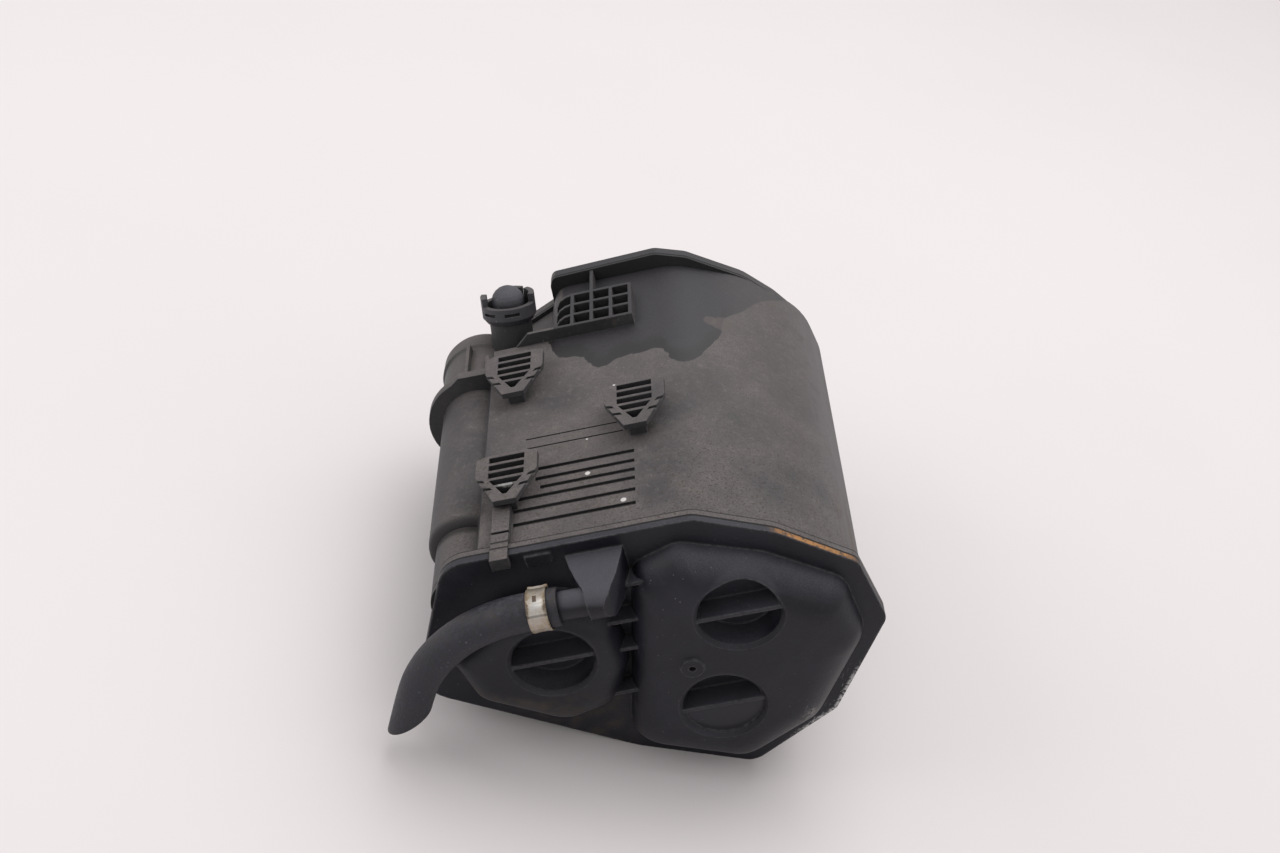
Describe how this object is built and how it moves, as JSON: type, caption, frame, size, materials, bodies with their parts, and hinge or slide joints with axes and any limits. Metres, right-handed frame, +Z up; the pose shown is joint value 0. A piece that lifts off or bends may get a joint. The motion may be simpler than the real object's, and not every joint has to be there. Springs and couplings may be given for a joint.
{
  "type": "fuel vapour canister",
  "caption": "Moulded charcoal canister lying on its side, with a domed front cover, side tube, push-on connector, slide-in lugs and a short hose on an elbow spigot.",
  "frame": {"origin": "centre of the underside of the box around the rigid pieces, on the surface it lies on", "axes": "+X to the right seen from the front cover, +Y from the front cover to the rear cover, +Z up as it lies in the picture"},
  "size_m": [0.22, 0.293, 0.1495],
  "materials": {
    "housing_plastic": "black moulded plastic, dusty and worn",
    "cover_plastic": "black moulded plastic, satin",
    "cap_plastic": "black moulded plastic, dusty",
    "plug_plastic": "dark grey moulded plastic",
    "seal_rubber": "black rubber",
    "hose_rubber": "dark braided-look rubber hose",
    "clamp_steel": "zinc plated steel with a yellow tint",
    "spring_steel": "bare spring steel",
    "plate_plastic": "natural moulded plastic",
    "fleece": "white filter fleece",
    "charcoal": "black charcoal pellets"
  },
  "bodies": {
    "root": {"canister_body": "housing_plastic", "rear_cover": "housing_plastic", "front_cover": "cover_plastic", "side_cap": "cap_plastic", "connector_collar": "cap_plastic", "connector_plug": "plug_plastic", "connector_o_ring": "seal_rubber", "hose": "hose_rubber", "hose_clamp": "clamp_steel", "upper_spring": "spring_steel", "lower_spring": "spring_steel", "side_spring": "spring_steel", "main_pressure_plate": "plate_plastic", "side_pressure_plate": "plate_plastic", "main_support_grid": "plate_plastic", "side_support_grid": "plate_plastic", "main_front_fleece": "fleece", "side_front_fleece": "fleece", "main_rear_fleece": "fleece", "side_rear_fleece": "fleece", "vent_filter": "fleece", "main_charcoal_bed": "charcoal", "side_charcoal_bed": "charcoal"}
  },
  "joints": []
}
